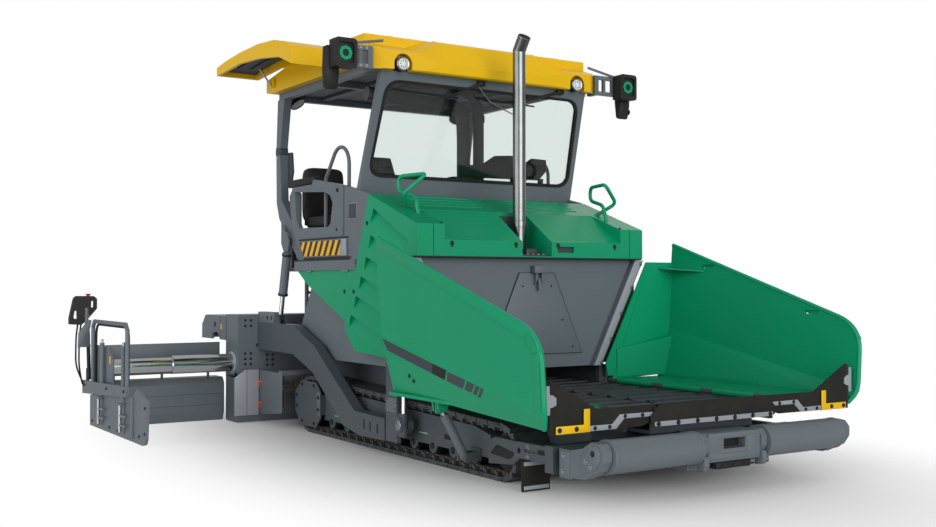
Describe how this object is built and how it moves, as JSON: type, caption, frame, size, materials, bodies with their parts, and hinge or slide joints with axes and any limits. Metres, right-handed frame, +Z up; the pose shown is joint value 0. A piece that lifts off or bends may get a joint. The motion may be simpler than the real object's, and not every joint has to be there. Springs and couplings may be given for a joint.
{
  "type": "tracked road paver",
  "caption": "Tracked road paver with a folding hopper in front, an operator stand under a roof, and a telescopic floating screed on tow arms behind.",
  "frame": {"origin": "on the ground under the middle of the machine, at the middle of the bounding box in X and Y", "axes": "+X forward towards the hopper, +Y to the left, +Z up"},
  "size_m": [6.95, 5.816, 3.88],
  "materials": {
    "green_paint": "semi-gloss green paint",
    "grey_paint": "satin anthracite paint",
    "yellow_paint": "semi-gloss yellow paint",
    "track_steel": "worn dark steel",
    "rubber": "matte black rubber",
    "black_plastic": "matte black",
    "bright_steel": "bright polished steel",
    "glass": "clear glass with a grey-green tint",
    "roller_steel": "worn grey steel"
  },
  "bodies": {
    "tractor": {"chassis_frame": "grey_paint", "track_frames": "grey_paint", "wing_brackets": "grey_paint", "track_wheels": "grey_paint", "track_left": "track_steel", "track_right": "track_steel", "conveyor": "track_steel", "engine_block": "grey_paint", "body_shell": "grey_paint", "hopper_back_wall": "grey_paint", "engine_hood": "green_paint", "side_covers": "green_paint", "rear_covers": "green_paint", "platform": "grey_paint", "cab_sides": "grey_paint", "seats": "black_plastic", "console": "grey_paint", "handrails": "grey_paint", "windscreen_frame": "grey_paint", "windscreen_glass": "glass", "roof_shell": "yellow_paint", "roof_frame": "grey_paint", "rear_posts": "grey_paint", "awnings": "yellow_paint", "lamps": "black_plastic", "exhaust_stack": "bright_steel", "grab_handles": "green_paint", "tow_guides": "grey_paint", "rubber_flaps": "rubber", "limit_plates": "grey_paint"},
    "wing_left": {"hopper_wing_left": "green_paint", "wing_apron_left": "rubber"},
    "wing_right": {"hopper_wing_right": "green_paint", "wing_apron_right": "rubber"},
    "wing_barrel_left": {"wing_barrel_left": "track_steel"},
    "wing_barrel_right": {"wing_barrel_right": "track_steel"},
    "wing_rod_left": {"wing_rod_left": "bright_steel"},
    "wing_rod_right": {"wing_rod_right": "bright_steel"},
    "push_beam": {"push_beam": "grey_paint"},
    "push_roller_left": {"push_roller_left": "roller_steel"},
    "push_roller_right": {"push_roller_right": "roller_steel"},
    "screed": {"tow_arms": "grey_paint", "screed_base": "grey_paint"},
    "lift_barrels": {"lift_barrels": "grey_paint"},
    "lift_rods": {"lift_rods": "bright_steel"},
    "extension_left": {"extension_left": "grey_paint", "end_plate_left": "grey_paint", "screed_desk_left": "black_plastic"},
    "extension_right": {"extension_right": "grey_paint", "end_plate_right": "grey_paint", "screed_desk_right": "black_plastic"},
    "mid_tube_left": {"mid_tube_left": "bright_steel"},
    "mid_tube_right": {"mid_tube_right": "bright_steel"},
    "auger_left": {"auger_left": "track_steel"},
    "auger_right": {"auger_right": "track_steel"}
  },
  "joints": [
    {"name": "wing_fold_left", "type": "hinge", "parent": "tractor", "child": "wing_left", "pos_m": [2.1, 0.8, 0.612], "axis": [1, 0, 0], "range_deg": [0, 33]},
    {"name": "wing_cylinder_turn_left", "type": "hinge", "parent": "tractor", "child": "wing_barrel_left", "pos_m": [1.745, 1.215, 0.15], "axis": [1, 0, 0], "range_deg": [0, 18.44]},
    {"name": "wing_cylinder_stroke_left", "type": "slide", "parent": "wing_barrel_left", "child": "wing_rod_left", "axis": [0, 0.4921, 0.8705], "range_m": [0, 0.324]},
    {"name": "wing_fold_right", "type": "hinge", "parent": "tractor", "child": "wing_right", "pos_m": [2.1, -0.8, 0.612], "axis": [-1, 0, 0], "range_deg": [0, 33]},
    {"name": "wing_cylinder_turn_right", "type": "hinge", "parent": "tractor", "child": "wing_barrel_right", "pos_m": [1.745, -1.215, 0.15], "axis": [-1, 0, 0], "range_deg": [0, 18.44]},
    {"name": "wing_cylinder_stroke_right", "type": "slide", "parent": "wing_barrel_right", "child": "wing_rod_right", "axis": [0, -0.4921, 0.8705], "range_m": [0, 0.324]},
    {"name": "push_beam_swivel", "type": "hinge", "parent": "tractor", "child": "push_beam", "pos_m": [3.05, 0, 0.25], "axis": [0, 0, 1], "range_deg": [-3, 3]},
    {"name": "push_roller_spin_left", "type": "hinge", "parent": "push_beam", "child": "push_roller_left", "pos_m": [3.385, 0.743, 0.35], "axis": [0, 1, 0], "continuous": true},
    {"name": "push_roller_spin_right", "type": "hinge", "parent": "push_beam", "child": "push_roller_right", "pos_m": [3.385, -0.743, 0.35], "axis": [0, 1, 0], "continuous": true},
    {"name": "screed_lift", "type": "hinge", "parent": "tractor", "child": "screed", "pos_m": [0.798, 0, 0.301], "axis": [0, 1, 0], "range_deg": [0, 4]},
    {"name": "lift_cylinder_turn", "type": "hinge", "parent": "tractor", "child": "lift_barrels", "pos_m": [-1.655, 0, 1.893], "axis": [0, -1, 0], "range_deg": [0, 2.41]},
    {"name": "lift_cylinder_stroke", "type": "slide", "parent": "lift_barrels", "child": "lift_rods", "axis": [0.2305, 0, 0.9731], "range_m": [0, 0.1935]},
    {"name": "extension_left", "type": "slide", "parent": "screed", "child": "extension_left", "axis": [0, 1, 0], "range_m": [-1.27, 0]},
    {"name": "guide_tube_left", "type": "slide", "parent": "screed", "child": "mid_tube_left", "axis": [0, 1, 0], "range_m": [-0.64, 0]},
    {"name": "extension_right", "type": "slide", "parent": "screed", "child": "extension_right", "axis": [0, -1, 0], "range_m": [-1.27, 0]},
    {"name": "guide_tube_right", "type": "slide", "parent": "screed", "child": "mid_tube_right", "axis": [0, -1, 0], "range_m": [-0.64, 0]},
    {"name": "auger_spin_left", "type": "hinge", "parent": "tractor", "child": "auger_left", "pos_m": [-1.97, 0.65, 0.38], "axis": [0, 1, 0], "continuous": true},
    {"name": "auger_spin_right", "type": "hinge", "parent": "tractor", "child": "auger_right", "pos_m": [-1.97, -0.65, 0.38], "axis": [0, 1, 0], "continuous": true}
  ],
  "couplings": [
    {"joint": "wing_cylinder_turn_left", "follows": "wing_fold_left", "ratio": 0.54374},
    {"joint": "wing_cylinder_stroke_left", "follows": "wing_fold_left", "m_per_rad": 0.55905},
    {"joint": "wing_cylinder_turn_right", "follows": "wing_fold_right", "ratio": 0.54374},
    {"joint": "wing_cylinder_stroke_right", "follows": "wing_fold_right", "m_per_rad": 0.55905},
    {"joint": "lift_cylinder_turn", "follows": "screed_lift", "ratio": 0.47744},
    {"joint": "lift_cylinder_stroke", "follows": "screed_lift", "m_per_rad": 2.7428},
    {"joint": "guide_tube_left", "follows": "extension_left", "ratio": 0.5},
    {"joint": "guide_tube_right", "follows": "extension_right", "ratio": 0.5}
  ]
}
